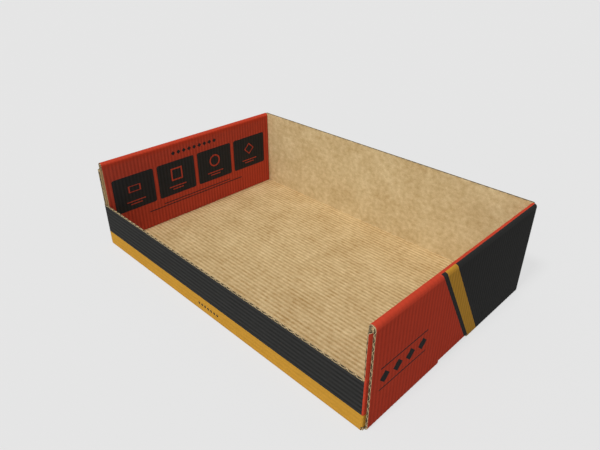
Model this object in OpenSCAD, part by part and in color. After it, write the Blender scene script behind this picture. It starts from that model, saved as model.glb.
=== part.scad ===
// Open display tray, die-cut and folded from one sheet of corrugated board.
// A low front wall and a tall back wall stand on the base. Each side wall is double: it rises,
// rolls over at the top and comes down again inside, where a tab locks in a slot in the base.
// The flaps at the ends of the front and back walls are trapped between the two layers.
// Millimetres. The origin is under the middle of the base, +X to the right, +Y to the back.

/* [Tray] */
// Outside width, between the outer faces of the side walls
outer_w = 560; // [240:1:900]
// Outside depth, between the outer faces of the front and back walls
outer_d = 364; // [240:1:700]
// Height of the side walls, over the rolled top
side_h = 148; // [90:1:300]
// Height of the back wall
back_h = 148; // [40:1:300]
// Height of the front wall
front_h = 74; // [30:1:200]

/* [Board] */
// Thickness of the board
board_t = 3; // [1.5:0.1:5]
// Inside radius of the folds at the feet of the side walls
fold_r = 1; // [0.5:0.1:3]
// Outside radius of the sharper creases: at the feet of the front and back walls, and at the corners
crease_r = 2.2; // [0.5:0.1:2.8]
// Clearance between two layers that lie against each other
layer_gap = 0.15; // [0.1:0.05:0.5]

/* [Side walls] */
// Gap from the front wall to the front ends of the side walls
front_gap = 2.2; // [0.2:0.1:8]
// Gap from the back wall to the back ends of the side walls
back_gap = 0.3; // [0.2:0.1:8]

/* [Corner flaps] */
// Length of a flap, from the outer face of the wall that it hangs on
flap_l = 92; // [40:1:110]
// Gap from the foot of the rolled top down to the top edge of a flap
flap_gap = 4.7; // [0.2:0.1:20]
// Gap from the crease at the foot of a wall up to the lower edge of its flaps
foot_gap = 4.8; // [0.2:0.1:8]
// Radius of the two free corners of a flap
flap_corner_r = 14; // [4:1:18]

/* [Lock] */
// Length of the slot at the foot of each side wall
slot_l = 72; // [30:1:120]
// Height of the slot in the outer layer, from the underside of the base
slot_h = 7.5; // [5:0.5:20]
// Play of the tab in its slot, on each side
slot_play = 0.5; // [0.2:0.1:2]
// Height of the tab's foot over the underside of the base
tab_lift = 0.6; // [0.2:0.1:1]

/* [Hidden] */
$fn = 64;
// Reach of a cut past the face that it goes through
cut_over = 1;
// Outside radius of the folds at the feet of the side walls
fold_out = fold_r + board_t;
// Half of the outside width and depth
half_w = outer_w / 2;
half_d = outer_d / 2;
// Thickness of a side wall: its outer layer, the flap and its inner layer
wall_stack = 3 * board_t + 2 * layer_gap;
// Outside radius of the rolled top, which spans the whole stack
roll_r = wall_stack / 2;
// Height of the axis of the rolled top
roll_z = side_h - roll_r;
// Inner face of a side wall
inner_face_x = half_w - wall_stack;
// Outer face of a corner flap
flap_face_x = half_w - board_t - layer_gap;
// Line where the front and back walls turn into their flaps
crease_x = flap_face_x - crease_r;
// Lower and upper edge of a flap
flap_foot_z = crease_r + foot_gap;
flap_top_z = roll_z - flap_gap;
// Foot of the inner layer, just clear of the base
inner_foot_z = board_t + layer_gap;
// Length of the side walls from end to end, and the place of their middle
side_l = outer_d - 2 * board_t - front_gap - back_gap;
side_y = (front_gap - back_gap) / 2;

// A quarter of a ring about the origin, from the first axis to the second
module quarter_ring(inner_r, outer_r) {
    intersection() {
        difference() {
            circle(outer_r);
            circle(inner_r);
        }
        square(outer_r + cut_over);
    }
}

// What is taken off to round a corner that stands on the origin, between the two axes
module corner_off(corner_r) {
    difference() {
        translate([-cut_over, -cut_over])
            square(corner_r + cut_over);
        translate([corner_r, corner_r])
            circle(corner_r);
    }
}

// Carries an outline drawn in X and Z along Y, centred
module along_y(length) {
    rotate([90, 0, 0])
        linear_extrude(length, center = true)
            children();
}

// Carries an outline drawn in Y and Z along X, centred
module along_x(length) {
    rotate([90, 0, 90])
        linear_extrude(length, center = true)
            children();
}

// Draws a shape and its mirror image across the given axis
module both_sides(axis) {
    children();
    mirror(axis)
        children();
}

// Flat base, up to the start of the folds and creases on its four sides
module base() {
    translate([-half_w + fold_out, -half_d + crease_r, 0])
        cube([outer_w - 2 * fold_out, outer_d - 2 * crease_r, board_t]);
}

// Section across the tray in X and Z: base, outer layers, rolled tops and inner layers
module side_section() {
    translate([-half_w + fold_out, 0])
        square([outer_w - 2 * fold_out, board_t]);
    both_sides([1, 0, 0]) {
        translate([half_w - fold_out, fold_out])
            mirror([0, 1, 0])
                quarter_ring(fold_r, fold_out);
        translate([half_w - board_t, fold_out])
            square([board_t, roll_z - fold_out]);
        translate([half_w - roll_r, roll_z])
            both_sides([1, 0, 0])
                quarter_ring(roll_r - board_t, roll_r);
        translate([inner_face_x, inner_foot_z])
            square([board_t, roll_z - inner_foot_z]);
    }
}

// Slot at the foot of the right side wall: low through the base, higher through the outer layer
module lock_slot() {
    translate([inner_face_x - slot_play, -slot_l / 2, -cut_over])
        cube([wall_stack + slot_play + cut_over, slot_l, board_t + layer_gap / 2 + cut_over]);
    translate([inner_face_x + board_t + layer_gap, -slot_l / 2, -cut_over])
        cube([wall_stack - board_t - layer_gap + cut_over, slot_l, slot_h + cut_over]);
}

// Tab on the foot of the right inner layer, standing in the slot
module lock_tab() {
    translate([inner_face_x, -slot_l / 2 + slot_play, tab_lift])
        cube([board_t, slot_l - 2 * slot_play, inner_foot_z + board_t - tab_lift]);
}

// Front wall of a given height in Y and Z, with the crease at its foot and the edge of the base
module end_section(wall_h) {
    translate([-half_d, 0])
        difference() {
            union() {
                square([board_t, wall_h]);
                square([crease_r + board_t, board_t]);
            }
            corner_off(crease_r);
        }
}

// Start of the right flap of the front wall, seen from above, from the crease on
module flap_start() {
    translate([crease_x, -half_d])
        square([crease_r, crease_r + board_t]);
    translate([flap_face_x - board_t, -half_d + crease_r])
        square(board_t);
}

// Outline of a flap in Y and Z, with its two free corners rounded
module flap_outline() {
    start_y = -half_d + crease_r;
    end_y = -half_d + flap_l;
    translate([start_y, flap_foot_z])
        square([flap_l - crease_r - flap_corner_r, flap_top_z - flap_foot_z]);
    translate([start_y, flap_foot_z + flap_corner_r])
        square([flap_l - crease_r, flap_top_z - flap_foot_z - 2 * flap_corner_r]);
    for (z = [flap_foot_z + flap_corner_r, flap_top_z - flap_corner_r])
        translate([end_y - flap_corner_r, z])
            circle(flap_corner_r);
}

// Right flap of a front wall of a given height: a strip of the wall, the upright crease, the flap.
// Over a low wall the flap ends in a free edge, cut along the crease.
module corner_flap(wall_h) {
    translate([0, 0, flap_foot_z])
        difference() {
            union() {
                linear_extrude(min(wall_h, flap_top_z) - flap_foot_z)
                    translate([crease_x - board_t, -half_d])
                        square([board_t + crease_r, board_t]);
                linear_extrude(flap_top_z - flap_foot_z)
                    flap_start();
            }
            translate([flap_face_x, -half_d, -cut_over])
                mirror([1, 0, 0])
                    linear_extrude(flap_top_z + 2 * cut_over)
                        corner_off(crease_r);
        }
    translate([flap_face_x - board_t / 2, 0, 0])
        along_x(board_t)
            flap_outline();
}

// Front wall of a given height with its two corner flaps
module end_wall(wall_h) {
    along_x(2 * crease_x)
        end_section(wall_h);
    both_sides([1, 0, 0])
        corner_flap(wall_h);
}

// The whole tray, one folded sheet
module tray() {
    color([0.79, 0.65, 0.45])
        union() {
            difference() {
                union() {
                    base();
                    translate([0, side_y, 0])
                        along_y(side_l)
                            side_section();
                }
                both_sides([1, 0, 0])
                    lock_slot();
            }
            both_sides([1, 0, 0])
                lock_tab();
            end_wall(front_h);
            mirror([0, 1, 0])
                end_wall(back_h);
        }
}

tray();
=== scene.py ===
import bmesh
import bpy
import numpy as np
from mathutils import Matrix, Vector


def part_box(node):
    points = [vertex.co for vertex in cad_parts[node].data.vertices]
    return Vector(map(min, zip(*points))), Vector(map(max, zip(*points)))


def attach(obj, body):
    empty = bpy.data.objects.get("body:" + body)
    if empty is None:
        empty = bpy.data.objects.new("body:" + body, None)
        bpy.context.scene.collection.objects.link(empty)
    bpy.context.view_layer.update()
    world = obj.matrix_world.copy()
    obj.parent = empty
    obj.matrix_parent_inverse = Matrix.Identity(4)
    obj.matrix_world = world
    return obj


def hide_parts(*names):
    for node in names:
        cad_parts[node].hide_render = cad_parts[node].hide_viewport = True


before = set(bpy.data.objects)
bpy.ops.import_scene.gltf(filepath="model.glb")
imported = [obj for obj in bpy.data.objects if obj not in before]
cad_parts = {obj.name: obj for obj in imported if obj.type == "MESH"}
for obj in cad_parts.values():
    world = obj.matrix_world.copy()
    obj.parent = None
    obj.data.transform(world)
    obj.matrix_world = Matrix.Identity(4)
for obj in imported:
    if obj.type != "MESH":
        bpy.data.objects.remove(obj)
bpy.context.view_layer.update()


# Base
# The middle of one die-cut sheet of corrugated board. It lies flat with bare kraft paper on both
# faces, and a slot at the foot of each side wall takes the tab of that wall's inner layer.
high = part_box("tray")[1]
half_w = high.x
half_d = high.y
board_t = 0.003
fold_r = 0.001
fold_out = fold_r + board_t
crease_r = 0.0022
layer_gap = 0.00015
wall_stack = 3 * board_t + 2 * layer_gap
inner_face_x = half_w - wall_stack
base_x = half_w - fold_out
base_y = half_d - crease_r
slot_half = 0.036
slot_play = 0.0005
slot_x = inner_face_x - slot_play
flute_pitch = 0.0065
flute_dip = 0.00016
rows_per_flute = 8
crush_reach = 0.004
liner_t = 0.00025
pocket_depth = 0.0014
weld_reach = 1e-6
sharp_angle = np.radians(35)
KRAFT = (201, 173, 126)
# Painted light: the walls' inside kraft is the floor's kraft painted paler, to make up for the lesser light
# on the upright walls
WALL_KRAFT_PAINTED_PALER = (203, 180, 135)
KRAFT_BROWNING = (0.76, 1.0, 1.37)
EDGE = (188, 166, 128)
# Painted shade: the dark brown inside of the deeper flute hollows at the cut edges
HOLLOW_SHADE = (104, 94, 75)


def paint(red, green, blue):
    """Turns a screen colour of 0 to 255 into the linear colour that a shader takes."""
    share = np.array((red, green, blue)) / 255
    linear = np.where(share > 0.04045, ((share + 0.055) / 1.055) ** 2.4, share / 12.92)
    return (*linear.tolist(), 1.0)


def flute_rows(*marks):
    """Even lines along the flutes, rows_per_flute to each flute, from the lowest mark to the highest, and
    the marks themselves."""
    step = flute_pitch / rows_per_flute
    even = np.arange(np.ceil(min(marks) / step), np.floor(max(marks) / step) + 1) * step
    clear = np.abs(even[:, None] - np.array(marks)).min(1) > step / 4
    return np.union1d(even[clear], marks)


def ripple(by, dip, phase):
    """How far a liner sinks between two flutes: a cosine across the flutes, crushed flat at the creases
    of the base."""
    crushed = 1 - np.exp(-(((np.abs(by) - base_y) / crush_reach) ** 2))
    return dip * crushed * (1 - np.cos(2 * np.pi * by / flute_pitch + phase)) / 2


def grid_faces(grid):
    """The faces of a grid of points: each is a point, the next one along each way, and the one across."""
    return np.stack((grid[:-1, :-1], grid[1:, :-1], grid[1:, 1:], grid[:-1, 1:]), -1)


def panel(place, bx, by, gone=None, cuts=(), dips=(flute_dip, flute_dip)):
    """One panel of board on a grid of the flat sheet. bx and by are the places of the grid's points in
    the sheet, and place folds them up: place(bx, by, depth) is the point at that depth of the board, from
    0 on its inside face to board_t on its printed face. gone marks cells that the die cut away. Each side
    in cuts, as (side, points, depth), gets two liner lips with a hollow of that depth between them; a deep
    hollow's inside is painted dark brown as painted shade. Every other rim is plain. Gives points, their
    places in the sheet, faces and the material of each face."""
    inside = ripple(by, dips[0], np.pi)
    outside = board_t - ripple(by, dips[1], 0.0)
    spots = [place(bx, by, inside).reshape(-1, 3), place(bx, by, outside).reshape(-1, 3)]
    flat = [np.stack([bx, by], -1).reshape(-1, 2)] * 2
    grid_in = np.arange(bx.size).reshape(bx.shape)
    grid_out = grid_in + bx.size
    kept = np.ones((bx.shape[0] - 1, bx.shape[1] - 1), bool) if gone is None else ~gone
    faces = []
    looks = []
    for look, grid in enumerate((grid_out, grid_in)):
        faces.append(grid_faces(grid)[kept])
        looks.append(np.full(kept.sum(), look))
    fence = np.pad(kept, 1)
    rim_x = fence[1:-1, :-1] != fence[1:-1, 1:]
    rim_y = fence[:-1, 1:-1] != fence[1:, 1:-1]
    sides = {
        "first_x": (np.s_[0, :], np.s_[1, :], rim_y[0]),
        "last_x": (np.s_[-1, :], np.s_[-2, :], rim_y[-1]),
        "last_y": (np.s_[:, -1], np.s_[:, -2], rim_x[:, -1]),
        "first_y": (np.s_[:, 0], np.s_[:, 1], rim_x[:, 0]),
    }
    for side, points, hollow in cuts:
        at, beside, rim = sides[side]
        line = np.arange(len(rim) + 1)[points]
        rim[line[:-1]] = False
        opened = np.ones(len(line))
        opened[[0, -1]] = 0
        line_x, line_y = bx[at][points], by[at][points]
        deep_x = line_x + np.sign(bx[beside] - bx[at])[points] * hollow * opened
        deep_y = line_y + np.sign(by[beside] - by[at])[points] * hollow * opened
        lip_in = inside[at][points] + liner_t * opened
        lip_out = outside[at][points] - liner_t * opened
        start = sum(map(len, spots))
        ring = start + np.arange(4 * len(line)).reshape(4, -1)
        spots += [
            place(line_x, line_y, lip_in),
            place(deep_x, deep_y, lip_in),
            place(deep_x, deep_y, lip_out),
            place(line_x, line_y, lip_out),
        ]
        flat += [np.stack(pair, -1) for pair in ((line_x, line_y), (deep_x, deep_y)) * 2]
        rows = np.concatenate([grid_in[at][points][None], ring, grid_out[at][points][None]])
        faces.append(grid_faces(rows).reshape(-1, 4))
        lip_look = np.full(len(line) - 1, 2)
        # Deep hollows take the dark material, which is painted shade inside them
        shade_look = lip_look + (np.broadcast_to(hollow, line.shape)[:-1] > pocket_depth / 2)
        looks += [lip_look, shade_look, shade_look, shade_look, lip_look]
    for rim, step in ((rim_x, (1, 0)), (rim_y, (0, 1))):
        i, j = np.nonzero(rim)
        ends = (i, j), (i + step[0], j + step[1])
        corners = (grid_in[ends[0]], grid_in[ends[1]], grid_out[ends[1]], grid_out[ends[0]])
        faces.append(np.stack(corners, -1))
        looks.append(np.full(len(i), 2))
    return tuple(map(np.concatenate, (spots, flat, faces, looks)))


def board_piece(name, panels, materials):
    """Joins panels into one piece, welds their shared points, and turns every face outwards. The places in
    the flat sheet become its UV map, in metres."""
    spots, flat, faces, looks = zip(*panels)
    starts = np.cumsum([0] + [len(part) for part in spots[:-1]])
    faces = np.concatenate([part + start for part, start in zip(faces, starts)])
    mesh = bpy.data.meshes.new(name)
    mesh.from_pydata(np.concatenate(spots), [], faces)
    mesh.polygons.foreach_set("material_index", np.concatenate(looks))
    sheet_map = mesh.uv_layers.new(name="blank")
    sheet_map.uv.foreach_set("vector", np.concatenate(flat)[faces].ravel())
    shape = bmesh.new()
    shape.from_mesh(mesh)
    bmesh.ops.remove_doubles(shape, verts=shape.verts, dist=weld_reach)
    bmesh.ops.recalc_face_normals(shape, faces=shape.faces)
    shape.to_mesh(mesh)
    shape.free()
    mesh.polygons.foreach_set("use_smooth", np.ones(len(mesh.polygons), bool))
    mesh.set_sharp_from_angle(angle=sharp_angle)
    piece = bpy.data.objects.new(name, mesh)
    bpy.context.scene.collection.objects.link(piece)
    for material in materials:
        mesh.materials.append(material)
    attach(piece, "root")
    return piece


def node(tree, kind, inputs=None, **settings):
    """Adds a shader node, with its settings and with a value or a link on each named input."""
    made = tree.nodes.new(kind)
    for key, value in settings.items():
        setattr(made, key, value)
    for key, value in (inputs or {}).items():
        if isinstance(value, bpy.types.NodeSocket):
            tree.links.new(value, made.inputs[key])
        else:
            made.inputs[key].default_value = value
    return made


def calc(tree, operation, *values):
    """A Math node's result."""
    return node(tree, "ShaderNodeMath", dict(enumerate(values)), operation=operation).outputs[0]


def mix(tree, mask, under, over, way="MIX"):
    """Colour over laid on colour under where the mask is 1."""
    inputs = {0: mask, 6: under, 7: over}
    return node(tree, "ShaderNodeMix", inputs, data_type="RGBA", blend_type=way).outputs[2]


def noise(tree, place, scale, detail):
    """A cloudy value about 0, from -0.5 to 0.5."""
    cloud = node(
        tree,
        "ShaderNodeTexNoise",
        {"Vector": place, "Scale": scale, "Detail": detail, "Roughness": 0.6},
        noise_dimensions="2D",
    )
    return calc(tree, "SUBTRACT", cloud.outputs[0], 0.5)


def make_group(name, inputs, outputs):
    """An empty shader group with its sockets, and its two ends."""
    group = bpy.data.node_groups.new(name, "ShaderNodeTree")
    for title, kind in inputs:
        group.interface.new_socket(name=title, in_out="INPUT", socket_type=kind)
    for title, kind in outputs:
        group.interface.new_socket(name=title, in_out="OUTPUT", socket_type=kind)
    return group, group.nodes.new("NodeGroupInput"), group.nodes.new("NodeGroupOutput")


# Tone of paper glued on flutes: clouds, blots and fibres of the pulp, and a line for each flute, which
# comes and goes in patches. The flute lines are partly the paper's own tone along the flutes and partly
# painted shade and sheen of the liner's ripple.
cloud_scale = 20
cloud_share = 0.7
blot_scale = (115, 130, 1)
fibre_scale = (1400, 450, 1)
fibre_share = 0.8
patch_scale = 60
patch_share = 2.0
paper_tone, tone_in, tone_out = make_group(
    "paper_tone",
    (
        ("Place", "NodeSocketVector"),
        ("Mottle", "NodeSocketFloat"),
        ("Flutes", "NodeSocketFloat"),
        ("Browning", "NodeSocketVector"),
    ),
    (("Tone", "NodeSocketColor"), ("Fibres", "NodeSocketFloat")),
)
place = tone_in.outputs["Place"]
clouds = noise(paper_tone, place, cloud_scale, 2)
blot_map = node(paper_tone, "ShaderNodeMapping", {"Vector": place, "Scale": blot_scale})
blots = noise(paper_tone, blot_map.outputs[0], 1, 3)
fibre_map = node(paper_tone, "ShaderNodeMapping", {"Vector": place, "Scale": fibre_scale})
fibres = noise(paper_tone, fibre_map.outputs[0], 1, 2)
pulp = calc(paper_tone, "MULTIPLY_ADD", fibres, fibre_share, blots)
pulp = calc(paper_tone, "MULTIPLY_ADD", clouds, cloud_share, pulp)
across = node(paper_tone, "ShaderNodeSeparateXYZ", {"Vector": place}).outputs["Y"]
wave = calc(paper_tone, "COSINE", calc(paper_tone, "MULTIPLY", across, 2 * np.pi / flute_pitch))
patches = noise(paper_tone, place, patch_scale, 2)
unevenness = calc(paper_tone, "MULTIPLY_ADD", patches, patch_share, 1.0)
lines = calc(paper_tone, "MULTIPLY", wave, unevenness)
lines = calc(paper_tone, "MULTIPLY", lines, tone_in.outputs["Flutes"])
change = calc(paper_tone, "MULTIPLY_ADD", pulp, tone_in.outputs["Mottle"], lines)
tone = node(
    paper_tone,
    "ShaderNodeVectorMath",
    {0: change, 1: tone_in.outputs["Browning"], 2: (1, 1, 1)},
    operation="MULTIPLY_ADD",
)
paper_tone.links.new(tone.outputs[0], tone_out.inputs["Tone"])
paper_tone.links.new(fibres, tone_out.inputs["Fibres"])
paper_gloss = 0.022
kraft_rough = 0.85
edge_rough = 0.9
fuzz_rough = 0.16
fuzz_bump = 0.35
fuzz_height = 0.0002


def paper_material(name, colour, mottle, flutes, rough, browning=(1, 1, 1)):
    """A sheet of paper on the board. colour is the colour before the tone and flutes the strength of the
    flute lines, each as a value or as a function of the node tree and of the place in the flat sheet.
    browning is how much the red, the green and the blue change with the tone."""
    material = bpy.data.materials.new(name)
    material.use_nodes = True
    tree = material.node_tree
    shader = tree.nodes["Principled BSDF"]
    sheet = node(tree, "ShaderNodeUVMap", uv_map="blank").outputs[0]
    under = colour(tree, sheet) if callable(colour) else colour
    lines = flutes(tree, sheet) if callable(flutes) else flutes
    inputs = {"Place": sheet, "Mottle": mottle, "Flutes": lines, "Browning": browning}
    look = node(tree, "ShaderNodeGroup", inputs, node_tree=paper_tone)
    tinted = mix(tree, 1.0, under, look.outputs["Tone"], "MULTIPLY")
    tree.links.new(tinted, shader.inputs["Base Color"])
    fuzz = look.outputs["Fibres"]
    tree.links.new(calc(tree, "MULTIPLY_ADD", fuzz, fuzz_rough, rough), shader.inputs["Roughness"])
    inputs = {"Height": fuzz, "Strength": fuzz_bump, "Distance": fuzz_height}
    bump = node(tree, "ShaderNodeBump", inputs)
    tree.links.new(bump.outputs[0], shader.inputs["Normal"])
    shader.inputs["Specular IOR Level"].default_value = paper_gloss
    return material


def kraft_material(name, colour, mottle, flutes):
    """Bare kraft paper, which is browner where its tone is darker."""
    return paper_material(name, paint(*colour), mottle, flutes, kraft_rough, KRAFT_BROWNING)


# The floor's strong flute lines are partly painted shade in the valleys of the liner's ripple
kraft_floor = kraft_material("kraft_floor", KRAFT, mottle=0.62, flutes=-0.185)
# kraft_plain carries that paler painted kraft of the walls' insides
kraft_plain = kraft_material("kraft_plain", WALL_KRAFT_PAINTED_PALER, mottle=0.66, flutes=-0.012)
kraft_outside = kraft_material("kraft_outside", KRAFT, mottle=0.4, flutes=0.08)
cut_edge = paper_material("cut_edge", paint(*EDGE), mottle=0.3, flutes=0.0, rough=edge_rough)
flute_hollow_shade = paper_material("flute_hollow_shade", paint(*HOLLOW_SHADE), mottle=0.2, flutes=0.0, rough=edge_rough)


def place_base(bx, by, depth):
    """The base lies flat with its inside face up."""
    return np.stack([bx, by, board_t - depth], -1)


base_cols = np.array([-base_x, -slot_x, slot_x, base_x])
base_rows = flute_rows(-base_y, -slot_half, slot_half, base_y)
bx, by = np.meshgrid(base_cols, base_rows, indexing="ij")
middle = (base_rows[1:] + base_rows[:-1]) / 2
slots = np.zeros((3, len(middle)), bool)
slots[[0, 2]] = np.abs(middle) < slot_half
base = board_piece(
    "base",
    [panel(place_base, bx, by, slots)],
    [kraft_outside, kraft_floor, cut_edge, flute_hollow_shade],
)
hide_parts("tray")


# Front and back walls
# Strips of the same sheet, turned up along a crease at the base. The front one is half as high as
# the back one. Both are printed charcoal with an ochre band at the foot, and are bare kraft inside.
side_h = high.z
front_h = 0.074
wall_h = {-1: front_h, 1: side_h}
crease_x = half_w - board_t - layer_gap - crease_r
fold_points = 9
flap_foot_z = 0.007
band_z = 0.025
band_mark = 0.0026
band_marks = 7
lozenge_pitch = 2.67
# Painted sheen: flute lines painted into the ink, strong on the charcoal and faint on the ochre band
band_sheen_lines = -0.04
charcoal_sheen_lines = -0.25
ink_rough = 0.7
end_dips = (flute_dip / 4, flute_dip / 3)
CHARCOAL = (49, 49, 48)
OCHRE = (199, 147, 54)


def run(length):
    """A straight stretch of a folded strip: its length, with no turn."""
    return length, 0.0, 0.0


def bend(radius, turn):
    """A fold of a strip: its length along the middle of the board, inside radius and turn."""
    return (radius + board_t / 2) * turn, radius, turn


def folded(s, legs, heading=0.0):
    """Follows a folded strip in its own plane. s is the distance along the middle of the board. Straight
    legs add their length along the present heading, and folds add an arc of the inside radius. Gives the
    inside face's place along a heading of 0 and at right angles to it, and the turn from there."""
    along, up, turn = np.zeros_like(s), np.zeros_like(s), np.full_like(s, heading)
    start = 0.0
    for length, radius, angle in legs:
        part = np.clip(s - start, 0, length)
        if angle:
            bent = part / length * angle
            along = along + radius * (np.sin(heading + bent) - np.sin(heading))
            up = up + radius * (np.cos(heading) - np.cos(heading + bent))
            turn = turn + bent
        else:
            along = along + part * np.cos(heading)
            up = up + part * np.sin(heading)
        start += length
        heading += angle
    return along, up, turn


crease = bend(crease_r - board_t, np.pi / 2)
crease_steps = np.linspace(0, crease[0], fold_points)
wall_start = base_y + crease[0]


def sheet_y(z):
    """How far out in the flat sheet a front or back wall has the height z."""
    return wall_start + z - crease_r


flap_foot = sheet_y(flap_foot_z)


def place_end(bx, by, depth):
    """A front or back wall: a sharp quarter turn up from the base, then straight up."""
    along, up, turn = folded(np.abs(by) - base_y, [crease, run(side_h)])
    y = base_y + along + depth * np.sin(turn)
    return np.stack([bx, np.sign(by) * y, board_t + up - depth * np.cos(turn)], -1)


def sheet_parts(tree, sheet):
    """Which way a place in the sheet lies from the middle, as the sign of its X, and both distances."""
    apart = node(tree, "ShaderNodeSeparateXYZ", {"Vector": sheet})
    x, y = apart.outputs["X"], apart.outputs["Y"]
    return calc(tree, "SIGN", x), calc(tree, "ABSOLUTE", x), y, calc(tree, "ABSOLUTE", y)


def band_mask(tree, out_y):
    """A mask of the ochre band on the foot of what stands along the front or the back."""
    return calc(tree, "COMPARE", out_y, base_y, sheet_y(band_z) - base_y)


def both(tree, first, *others):
    """A mask that is 1 where all of these are."""
    for other in others:
        first = calc(tree, "MULTIPLY", first, other)
    return first


def lozenges(tree, along, up, middle, half, count):
    """A mask of a row of lozenges about a middle, with a third of their width between them: the
    distances along and up from the nearest lozenge's middle add up to less than half of its width."""
    pitch = lozenge_pitch * half
    shift = middle[0] - (count - 1) * pitch / 2
    beside = calc(tree, "PINGPONG", calc(tree, "SUBTRACT", along, shift), pitch / 2)
    above = calc(tree, "ABSOLUTE", calc(tree, "SUBTRACT", up, middle[1]))
    inside = calc(tree, "LESS_THAN", calc(tree, "ADD", beside, above), half)
    return both(tree, inside, calc(tree, "COMPARE", along, middle[0], count * pitch / 2))


def end_print(tree, sheet):
    """Charcoal, with the band at the foot, and a short row of small lozenges in the middle of the band."""
    way, out_x, y, out_y = sheet_parts(tree, sheet)
    x = calc(tree, "MULTIPLY", way, out_x)
    marks = lozenges(tree, x, out_y, (0.0, sheet_y(band_z / 2)), band_mark, band_marks)
    colour = mix(tree, band_mask(tree, out_y), paint(*CHARCOAL), paint(*OCHRE))
    return mix(tree, marks, colour, paint(*CHARCOAL))


def end_sheen_lines(tree, sheet):
    """Strong flute lines through the charcoal, and faint ones through the band: painted sheen along the
    flutes, which shows most on the dark ink.
    """
    out_y = sheet_parts(tree, sheet)[3]
    return calc(tree, "MULTIPLY_ADD", band_mask(tree, out_y), band_sheen_lines - charcoal_sheen_lines, charcoal_sheen_lines)


end_ink = paper_material("end_ink", end_print, mottle=0.18, flutes=end_sheen_lines, rough=ink_rough)
end_cols = np.array([-crease_x, -crease_x + liner_t, crease_x - liner_t, crease_x])
for end, name in ((-1, "front_wall"), (1, "back_wall")):
    wall_rows = flute_rows(wall_start, flap_foot, sheet_y(wall_h[end]))
    end_rows = np.union1d(base_y + crease_steps, wall_rows)
    bx, by = np.meshgrid(end_cols, end * end_rows, indexing="ij")
    below_flap = slice(0, np.searchsorted(end_rows, flap_foot) + 1)
    cuts = [("last_y", slice(None), pocket_depth)]
    cuts += [(side, below_flap, pocket_depth) for side in ("first_x", "last_x")]
    end_wall = board_piece(
        name,
        [panel(place_end, bx, by, cuts=cuts, dips=end_dips)],
        [end_ink, kraft_plain, cut_edge, flute_hollow_shade],
    )
    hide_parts("tray")


# Corner flaps
# The ends of the front and back walls turn round the corners and lie between the two layers of the
# side walls, which hold them. Over the low front wall the front ones have open, cut edges.
roll_r = wall_stack / 2
roll_z = side_h - roll_r
flap_gap = 0.0047
flap_top = sheet_y(roll_z - flap_gap)
flap_run = 0.0898
flap_corner_r = 0.014
flap_dips = (flute_dip, flute_dip / 4)
front_top = sheet_y(front_h)
free_closed = 0.003
spring_rise = 0.006
spring_turn = np.radians(60)
spring_x = half_w - 0.0077
spring_y = half_d - 0.0018
spring_r = (crease_x + crease_r - board_t - spring_x) / (1 - np.sin(spring_turn))
spring = bend(spring_r, np.pi / 2 - spring_turn)
RED = (198, 68, 46)
# Painted light: the flaps' inside kraft is painted much paler, to lift the shade on their inner faces
FLAP_KRAFT_PAINTED_PALER = (228, 206, 162)


def place_flap(bx, by, depth):
    """A corner flap: a sharp quarter turn from the wall's end, then straight along the side wall. Over the
    low front wall no crease holds it: within a short rise it springs out into a wide bend, which has only
    the last part of the turn."""
    s = np.abs(bx) - crease_x
    along, up, turn = folded(s, [crease, run(flap_run)])
    x = crease_x + along + depth * np.sin(turn)
    y = half_d - board_t - up + depth * np.cos(turn)
    along, up, turn = folded(s, [spring, run(flap_run)], spring_turn)
    free_x = spring_x + along + depth * np.sin(turn)
    free_y = spring_y - up + depth * np.cos(turn)
    rise = np.clip((-by - front_top) / spring_rise, 0, 1)
    sprung = rise**2 * (3 - 2 * rise)
    x = x + sprung * (free_x - x)
    y = y + sprung * (free_y - y)
    return np.stack([np.sign(bx) * x, np.sign(by) * y, crease_r + np.abs(by) - wall_start], -1)


def flap_print(tree, sheet):
    """Red at the front right and the back left, charcoal at the other two corners, and the band below."""
    way, out_x, y, out_y = sheet_parts(tree, sheet)
    red = calc(tree, "LESS_THAN", calc(tree, "MULTIPLY", way, y), 0.0)
    colour = mix(tree, red, paint(*CHARCOAL), paint(*RED))
    return mix(tree, band_mask(tree, out_y), colour, paint(*OCHRE))


flap_ink = paper_material("flap_ink", flap_print, mottle=0.14, flutes=0.03, rough=ink_rough)
flap_inside = kraft_material("flap_inside", FLAP_KRAFT_PAINTED_PALER, mottle=0.4, flutes=-0.012)
arc_start = crease_x + crease[0] + flap_run - flap_corner_r
arc_steps = flap_corner_r * np.sin(np.linspace(0, np.pi / 2, fold_points))
spring_steps = np.linspace(crease[0], spring[0], fold_points)[1:]
flap_steps = np.concatenate([crease_steps, spring_steps])
flap_cols = np.concatenate([crease_x + flap_steps, [arc_start - liner_t], arc_start + arc_steps])
flap_cut_end = len(flap_cols) - len(arc_steps) + 1
flap_rows = flute_rows(flap_foot, front_top, flap_top)
free_foot = front_top + spring_rise / 2
free_edge = slice(*np.searchsorted(flap_rows, (free_foot, flap_top - free_closed)))
flap_middle = (flap_foot + flap_top) / 2
flap_half = (flap_top - flap_foot) / 2
# The rows draw together at the free end, by what its two round corners take away
reach = np.clip(flap_cols - arc_start, 0, flap_corner_r)
drop = flap_corner_r - np.sqrt(flap_corner_r**2 - reach**2)
spread = (1 - drop / flap_half)[:, None]
bx = np.repeat(flap_cols[:, None], len(flap_rows), 1)
by = flap_middle + (flap_rows - flap_middle)[None] * spread
flap_panels = []
for way in (-1, 1):
    for end in (-1, 1):
        cuts = [("last_y", slice(0, flap_cut_end), pocket_depth)]
        if end == -1:
            cuts.append(("first_x", free_edge, pocket_depth))
        flap_panels.append(panel(place_flap, way * bx, end * by, cuts=cuts, dips=flap_dips))
flaps = board_piece("corner_flaps", flap_panels, [flap_ink, flap_inside, cut_edge, flute_hollow_shade])
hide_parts("tray")


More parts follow.
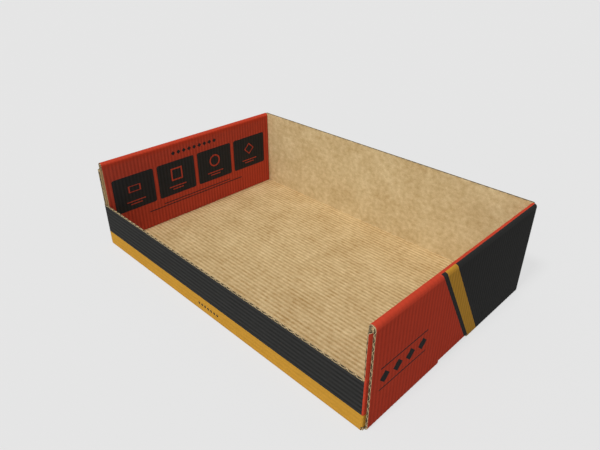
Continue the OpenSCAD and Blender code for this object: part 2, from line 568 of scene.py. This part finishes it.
# Side walls
# Each is one strip that turns up from the base, rolls over at the top and comes down again inside, with
# its printed face showing on both sides. A tab on the foot of the inner layer stands in the base's slot.
front_gap = 0.0022
back_gap = 0.0003
side_end_y = {-1: board_t + front_gap - half_d, 1: half_d - board_t - back_gap}
tab_half = slot_half - slot_play
inner_foot_z = board_t + layer_gap
tab_z = 0.0006
slot_z = 0.0075
quarter = bend(fold_r, np.pi / 2)
outer_run = run(roll_z - fold_out)
roll = bend(roll_r - board_t, np.pi)
inner_run = run(roll_z - tab_z)
side_legs = [quarter, outer_run, roll, inner_run]
outer_s = base_x + quarter[0]
roll_s = outer_s + outer_run[0]
inner_s = roll_s + roll[0]
foot_s = inner_s + roll_z - inner_foot_z
tab_s = inner_s + inner_run[0]
crown_s = (roll_s + inner_s) / 2
roll_points = 21
shallow = 0.0002
print_shift = 0.0008
print_s = crown_s - print_shift
taut_reach = 0.008
taut_share = 0.25
# Painted highlight: a paler band along each shoulder of the rolled top, where the roll curves into the
# walls
shoulder_s = 0.00475
shoulder_reach = 0.0031
shoulder_highlight = 0.285


def place_side(bx, by, depth):
    """A side wall: a quarter turn up from the base, straight up, half a turn in and straight down."""
    along, up, turn = folded(np.abs(bx) - base_x, side_legs)
    x = base_x + along + depth * np.sin(turn)
    return np.stack([np.sign(bx) * x, by, board_t + up - depth * np.cos(turn)], -1)


side_cols = np.concatenate([
    base_x + np.linspace(0, quarter[0], fold_points),
    [outer_s + slot_z - fold_out, roll_s - taut_reach],
    np.linspace(roll_s, inner_s, roll_points),
    [inner_s + taut_reach, foot_s - liner_t, foot_s, tab_s],
])
side_rows = flute_rows(side_end_y[-1], -slot_half, -tab_half, tab_half, slot_half, side_end_y[1])
bx, by = np.meshgrid(side_cols, side_rows, indexing="ij")
# The printed liner is drawn taut over the rolled top, which all but hides the flutes there
slack = np.clip((np.abs(side_cols - crown_s) - roll[0] / 2) / taut_reach, 0, 1)[:, None]
side_dips = (flute_dip, flute_dip * (taut_share + (1 - taut_share) * slack))
cell_s = (side_cols[1:] + side_cols[:-1])[:, None] / 2
cell_y = np.abs(side_rows[1:] + side_rows[:-1])[None] / 2
cut_away = (cell_s < outer_s + slot_z - fold_out) & (cell_y < slot_half)
cut_away |= (cell_s > foot_s) & (cell_y > tab_half)
end_points = slice(0, len(side_cols) - 1)
end_depth = np.where(side_cols > inner_s, shallow, pocket_depth)[end_points]
side_ends = [(side, end_points, end_depth) for side in ("first_y", "last_y")]

stripe_lean = 0.602
line_from = -0.0137
stripe_at = (-0.0061, 0.0159)
row_at = (-0.118, 0.066)
row_mark = 0.0088
row_marks = 4
row_rules = 0.0155
row_rule_half = 5 * row_mark
panel_pitch = 0.0848
panel_w = 0.0776
panel_z = (0.050, 0.113)
panel_r = 0.004
motif_z = 0.0065
motif_r = 0.0105
motif_half = 0.0013
panel_rules = ((-0.0165, 0.018), (-0.0215, 0.011))
head_at = (0.0, 0.1275)
head_mark = 0.0042
head_marks = 9
foot_rules = ((0.0385, 0.075), (0.0335, 0.105))
rule_half = 0.0009
outer_lines = 0.1
inner_lines = 0.13
roll_lines = 0.3
# Painted light: the inner layer's red and charcoal are the same inks painted cooler, with more green and
# blue, to offset the warm light that the kraft floor bounces onto the inner walls
RED_AGAINST_BOUNCE = (194, 77, 60)
CHARCOAL_AGAINST_BOUNCE = (53, 55, 58)


def within(tree, value, low, high):
    """A mask that is 1 from low to high."""
    return calc(tree, "COMPARE", value, (low + high) / 2, (high - low) / 2)


def rule_mask(tree, along, up, middle, half):
    """A mask of one thin rule, level, about a middle."""
    line = calc(tree, "COMPARE", up, middle[1], rule_half)
    return both(tree, line, calc(tree, "COMPARE", along, middle[0], half))


def outer_print(tree, along, rise):
    """Red at one end, with a row of charcoal lozenges between two rules. Then a charcoal line, an ochre
    stripe and charcoal to the other end, which all lean alike."""
    slant = calc(tree, "MULTIPLY_ADD", calc(tree, "SUBTRACT", rise, side_h / 2), stripe_lean, along)
    colour = mix(tree, calc(tree, "LESS_THAN", slant, line_from), paint(*CHARCOAL), paint(*RED))
    colour = mix(tree, within(tree, slant, *stripe_at), colour, paint(*OCHRE))
    marks = lozenges(tree, along, rise, row_at, row_mark, row_marks)
    colour = mix(tree, marks, colour, paint(*CHARCOAL))
    for lift in (-row_rules, row_rules):
        rule = rule_mask(tree, along, rise, (row_at[0], row_at[1] + lift), row_rule_half)
        colour = mix(tree, rule, colour, paint(*CHARCOAL))
    return colour


def inner_print(tree, along, height):
    """Red, with a row of four round-cornered charcoal panels, each with the outline of a plain figure
    over two rules. A row of lozenges runs over the panels, and two rules under them."""
    count = calc(tree, "DIVIDE", along, panel_pitch)
    beside = calc(tree, "MULTIPLY", calc(tree, "SUBTRACT", calc(tree, "FRACT", count), 0.5), panel_pitch)
    above = calc(tree, "SUBTRACT", height, sum(panel_z) / 2)
    size_y, size_z = calc(tree, "ABSOLUTE", beside), calc(tree, "ABSOLUTE", above)
    over_y = calc(tree, "MAXIMUM", calc(tree, "SUBTRACT", size_y, panel_w / 2 - panel_r), 0.0)
    over_z = calc(tree, "SUBTRACT", size_z, (panel_z[1] - panel_z[0]) / 2 - panel_r)
    over_z = calc(tree, "MAXIMUM", over_z, 0.0)
    corner = calc(tree, "MULTIPLY_ADD", over_y, over_y, calc(tree, "MULTIPLY", over_z, over_z))
    corner = calc(tree, "SQRT", corner)
    row = calc(tree, "COMPARE", along, 0.0, 2 * panel_pitch)
    panels = both(tree, calc(tree, "LESS_THAN", corner, panel_r), row)
    # Below the rolled top the red fades into the cooler painted red that offsets the floor's warm bounce
    below = node(tree, "ShaderNodeMapRange", {"Value": height, 1: roll_z, 2: roll_z - taut_reach})
    colour = mix(tree, below.outputs[0], paint(*RED), paint(*RED_AGAINST_BOUNCE))
    colour = mix(tree, panels, colour, paint(*CHARCOAL_AGAINST_BOUNCE))
    motif_up = calc(tree, "ABSOLUTE", calc(tree, "SUBTRACT", above, motif_z))
    squares = calc(tree, "MULTIPLY_ADD", size_y, size_y, calc(tree, "MULTIPLY", motif_up, motif_up))
    figures = (
        calc(tree, "ADD", size_y, motif_up),
        calc(tree, "SQRT", squares),
        calc(tree, "MAXIMUM", size_y, motif_up),
        calc(tree, "MAXIMUM", size_y, calc(tree, "MULTIPLY", motif_up, 2.0)),
    )
    for number, reach in enumerate(figures):
        here = calc(tree, "COMPARE", count, number - 1.5, 0.5)
        outline = both(tree, calc(tree, "COMPARE", reach, motif_r, motif_half), here)
        colour = mix(tree, outline, colour, paint(*RED_AGAINST_BOUNCE))
    for z, half in panel_rules:
        rule = both(tree, rule_mask(tree, beside, above, (0.0, z), half), row)
        colour = mix(tree, rule, colour, paint(*RED_AGAINST_BOUNCE))
    dark = [lozenges(tree, along, height, head_at, head_mark, head_marks)]
    dark += [rule_mask(tree, along, height, (0.0, z), half) for z, half in foot_rules]
    for mask in dark:
        colour = mix(tree, mask, colour, paint(*CHARCOAL_AGAINST_BOUNCE))
    return colour


def side_print(tree, sheet):
    """The outer layer's print up to just before the rolled top's crown, and then the inner layer's. Both
    shoulders of the rolled top are painted paler: a painted highlight where the roll curves into the walls."""
    way, out_x, y, out_y = sheet_parts(tree, sheet)
    along = calc(tree, "MULTIPLY", way, y)
    outer = outer_print(tree, along, calc(tree, "SUBTRACT", out_x, outer_s - fold_out))
    inner = inner_print(tree, along, calc(tree, "SUBTRACT", inner_s + roll_z, out_x))
    colour = mix(tree, calc(tree, "GREATER_THAN", out_x, print_s), outer, inner)
    # Painted highlight along both shoulders of the rolled top
    apart = calc(tree, "ABSOLUTE", calc(tree, "SUBTRACT", out_x, print_s))
    off = calc(tree, "ABSOLUTE", calc(tree, "SUBTRACT", apart, shoulder_s))
    limits = {"Value": off, 1: shoulder_reach, 2: 0.0}
    highlight_band = node(tree, "ShaderNodeMapRange", limits, interpolation_type="SMOOTHSTEP")
    return mix(tree, highlight_band.outputs[0], colour, (1 + shoulder_highlight,) * 3 + (1,), "MULTIPLY")


def side_lines(tree, sheet):
    """Flute lines, clearer on the inner layer than on the outer one, and faint over the rolled top; partly
    painted shade of the liner's ripple.
    """
    out_x = sheet_parts(tree, sheet)[1]
    inside = calc(tree, "GREATER_THAN", out_x, crown_s)
    full = calc(tree, "MULTIPLY_ADD", inside, inner_lines - outer_lines, outer_lines)
    apart = calc(tree, "ABSOLUTE", calc(tree, "SUBTRACT", out_x, crown_s))
    slack = node(tree, "ShaderNodeMapRange", {"Value": apart, 1: roll[0] / 2, 2: roll[0] / 2 + taut_reach})
    share = calc(tree, "MULTIPLY_ADD", slack.outputs[0], 1 - roll_lines, roll_lines)
    return calc(tree, "MULTIPLY", full, share)


side_ink = paper_material("side_ink", side_print, mottle=0.14, flutes=side_lines, rough=ink_rough)
side_walls = board_piece(
    "side_walls",
    [panel(place_side, way * bx, by, cut_away, side_ends, side_dips) for way in (-1, 1)],
    [side_ink, kraft_plain, cut_edge, flute_hollow_shade],
)
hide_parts("tray")


# Fluting
# The wavy paper glued between the two liners of the board, which shows at the cut edges of the walls and
# of the corner flaps. In the ends of the rolled tops the crumpled inside liner shows too.
medium_t = 0.00035
wave_pitch = 0.01144
wave_points = 24
wave_sway = board_t / 2 - liner_t - medium_t / 2
edge_sunk = 0.00015
top_sunk = {-1: edge_sunk, 1: 0.0008}
inset = 0.0008
free_end = 0.004
crumple_pitch = 0.0026
crumple_depth = 0.006
crumple_z = (roll_z - 0.0044, roll_z + 0.0014)
# Painted light: the fluting is painted paler than the liners, to lift the shade between the liners where it
# sits
FLUTING_PAINTED_PALER = (220, 196, 152)


def flute_strip(place, start, stop, inward, hollow=pocket_depth, pitch=wave_pitch, sunk=edge_sunk):
    """A strip of the wavy paper along a straight cut edge of the flat sheet. Its section is a thin bar that
    reaches into the board from a little under the edge, and a sine along the edge carries it from one
    liner to the other."""
    start, stop = np.array(start), np.array(stop)
    length = np.abs(stop - start).sum()
    share = np.linspace(0, 1, int(length / pitch * wave_points) + 2)
    line = start + share[:, None] * (stop - start)
    middle = board_t / 2 + wave_sway * np.sin(2 * np.pi * share * length / pitch)
    spots = []
    flat = []
    for reach, side in ((sunk, -1), (sunk, 1), (hollow, 1), (hollow, -1)):
        at = line + reach * np.array(inward)
        spots.append(place(at[:, 0], at[:, 1], middle + side * medium_t / 2))
        flat.append(at)
    ring = np.arange(4 * len(share)).reshape(4, -1)
    rows = np.concatenate([ring, ring[:1]])
    faces = np.concatenate([grid_faces(rows).reshape(-1, 4), ring[:, 0][None], ring[:, -1][None]])
    return np.concatenate(spots), np.concatenate(flat), faces, np.zeros(len(faces), int)


def place_crumple(bx, by, depth):
    """The middle of a rolled top, upright: bx is the height, with the side wall's sign."""
    x = half_w - roll_r + depth - board_t / 2
    return np.stack([np.sign(bx) * x, by, np.abs(bx)], -1)


strips = []
for end in (-1, 1):
    top = end * sheet_y(wall_h[end])
    start, stop = (inset - crease_x, top), (crease_x - inset, top)
    strips.append(flute_strip(place_end, start, stop, (0, -end), sunk=top_sunk[end]))
    for way in (-1, 1):
        y = side_end_y[end]
        start, stop = (way * (base_x + inset), y), (way * inner_s, y)
        strips.append(flute_strip(place_side, start, stop, (0, -end)))
        start, stop = (way * inner_s, y), (way * (foot_s - inset), y)
        strips.append(flute_strip(place_side, start, stop, (0, -end), shallow))
        start, stop = (way * crumple_z[0], y), (way * crumple_z[1], y)
        crumple = flute_strip(place_crumple, start, stop, (0, -end), crumple_depth, crumple_pitch)
        strips.append(crumple)
        start, stop = way * (crease_x + inset), way * (arc_start - inset)
        strips.append(flute_strip(place_flap, (start, end * flap_top), (stop, end * flap_top), (0, -end)))
        start, stop = (way * crease_x, end * (base_y + inset)), (way * crease_x, end * (flap_foot - inset))
        strips.append(flute_strip(place_end, start, stop, (-way, 0)))
for way in (-1, 1):
    start, stop = (way * crease_x, -free_foot - inset), (way * crease_x, -flap_top + free_end)
    strips.append(flute_strip(place_flap, start, stop, (way, 0)))
medium = paper_material("medium", paint(*FLUTING_PAINTED_PALER), mottle=0.25, flutes=0.0, rough=edge_rough)
fluting = board_piece("fluting", strips, [medium])
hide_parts("tray")


# Floor and light
# A wide pale studio floor that runs to the horizon, under an even sky, a key lamp high in front and a
# broad low lamp that fills what faces the front.
floor_size = 12.0
floor_z = -0.0003
floor_bounce = 0.46
floor_shown = 0.682
floor_catch = 0.11
sky_fill = 0.31
sky_shown = 0.783
LAMPS = {"key": (2.2, 10, 35), "fill": (0.53, 60, 72)}
corner = floor_size * np.array([(-1, -1), (1, -1), (1, 1), (-1, 1)])
floor_mesh = bpy.data.meshes.new("floor")
floor_mesh.from_pydata([(x, y, floor_z) for x, y in corner.tolist()], [], [(0, 1, 2, 3)])
floor = bpy.data.objects.new("floor", floor_mesh)
bpy.context.scene.collection.objects.link(floor)


def seen_mask(tree):
    """1 for what the camera sees, directly or through gloss and glass, and 0 for light on its way to
    the object."""
    path = tree.nodes.new("ShaderNodeLightPath")
    seen = calc(tree, "ADD", path.outputs["Is Camera Ray"], path.outputs["Is Glossy Ray"])
    return calc(tree, "MINIMUM", calc(tree, "ADD", seen, path.outputs["Is Transmission Ray"]), 1.0)


floor_paint = bpy.data.materials.new("floor_paint")
floor_paint.use_nodes = True
tree = floor_paint.node_tree
tree.nodes.clear()
bounce = node(tree, "ShaderNodeBsdfDiffuse", {"Color": (floor_bounce,) * 3 + (1,)})
catch = node(tree, "ShaderNodeBsdfDiffuse", {"Color": (floor_catch,) * 3 + (1,)})
glow = node(tree, "ShaderNodeEmission", {"Color": (floor_shown,) * 3 + (1,)})
shown = node(tree, "ShaderNodeAddShader", {0: catch.outputs[0], 1: glow.outputs[0]})
either = node(tree, "ShaderNodeMixShader", {0: seen_mask(tree), 1: bounce.outputs[0], 2: shown.outputs[0]})
node(tree, "ShaderNodeOutputMaterial", {"Surface": either.outputs[0]})
floor_mesh.materials.append(floor_paint)

sky = bpy.data.worlds.new("sky")
sky.use_nodes = True
bpy.context.scene.world = sky
tree = sky.node_tree
brightness = mix(tree, seen_mask(tree), (sky_fill,) * 3 + (1,), (sky_shown,) * 3 + (1,))
tree.links.new(brightness, tree.nodes["Background"].inputs["Color"])

for name, (power, spread_angle, tilt) in LAMPS.items():
    lamp = bpy.data.lights.new(name, "SUN")
    lamp.energy = power
    lamp.angle = np.radians(spread_angle)
    lamp_holder = bpy.data.objects.new(name, lamp)
    lamp_holder.rotation_euler = (np.radians(tilt), 0, 0)
    bpy.context.scene.collection.objects.link(lamp_holder)


# Camera
# It stands off the front right corner and looks down on the tray's middle, for an image of 600 by 450.
camera_azimuth = np.radians(44.93)
camera_height = np.radians(30.03)
camera_distance = 0.8253
focal_pixels = 532.3
image_w = 600
lens = bpy.data.cameras.new("camera")
lens.sensor_width = 36.0
lens.lens = focal_pixels / image_w * lens.sensor_width
camera = bpy.data.objects.new("camera", lens)
away = np.array([
    np.sin(camera_azimuth) * np.cos(camera_height),
    -np.cos(camera_azimuth) * np.cos(camera_height),
    np.sin(camera_height),
])
camera.location = (0, 0, side_h / 2) + camera_distance * away
camera.rotation_euler = (np.pi / 2 - camera_height, 0, camera_azimuth)
bpy.context.scene.collection.objects.link(camera)
bpy.context.scene.camera = camera
bpy.context.scene.view_settings.view_transform = "Standard"
